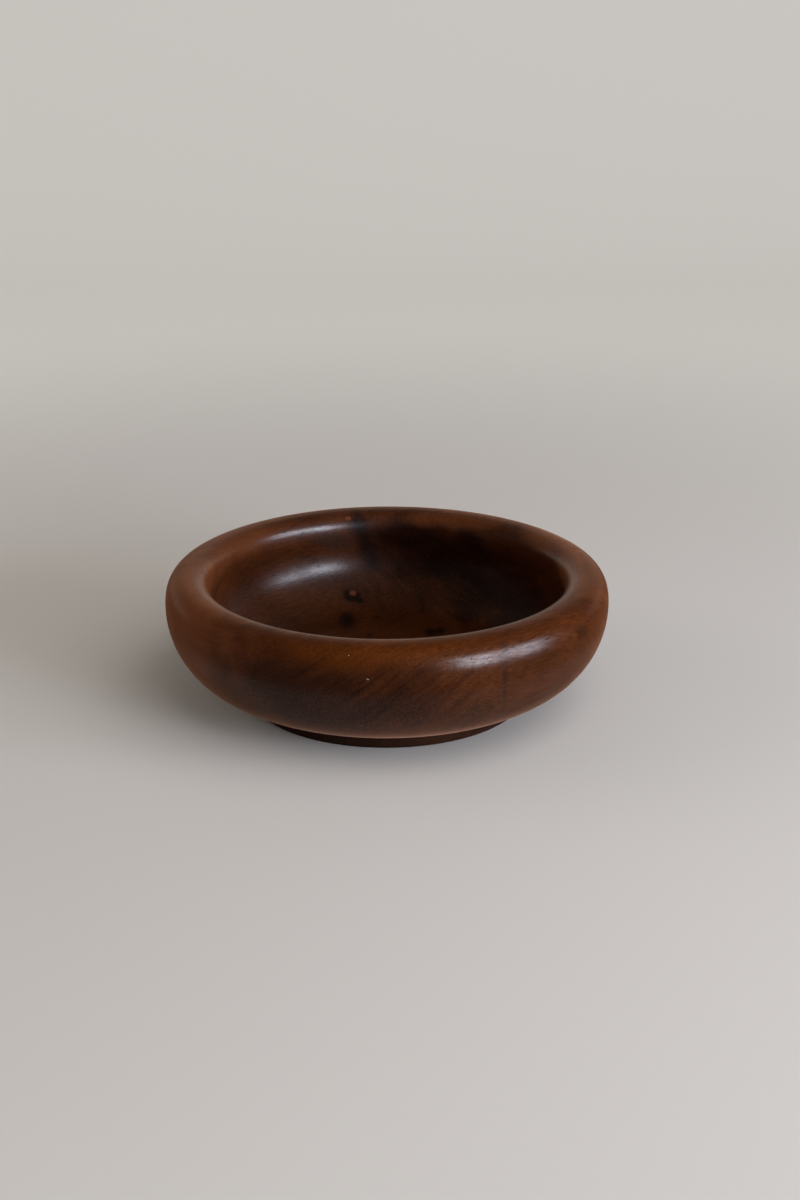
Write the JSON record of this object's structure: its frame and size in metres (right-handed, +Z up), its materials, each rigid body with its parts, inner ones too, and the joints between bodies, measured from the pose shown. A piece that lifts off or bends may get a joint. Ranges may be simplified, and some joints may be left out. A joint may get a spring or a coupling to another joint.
{
  "type": "wooden bowl",
  "caption": "Low round turned wooden bowl with a thick rolled rim, a slightly undercut wall and a dished floor, standing on a ring foot.",
  "frame": {"origin": "middle of the foot ring's flat underside, on the surface that the bowl stands on", "axes": "+Z up along the axis that the bowl was turned on; +Y away from the viewer of the picture and +X to the viewer's right"},
  "size_m": [0.25, 0.25, 0.0749],
  "materials": {
    "bowl_wood": "dark brown figured hardwood, satin wax over oil",
    "foot_wood": "the same hardwood, a little darker, satin"
  },
  "bodies": {
    "root": {"bowl_body": "bowl_wood", "foot_ring": "foot_wood"}
  },
  "joints": []
}
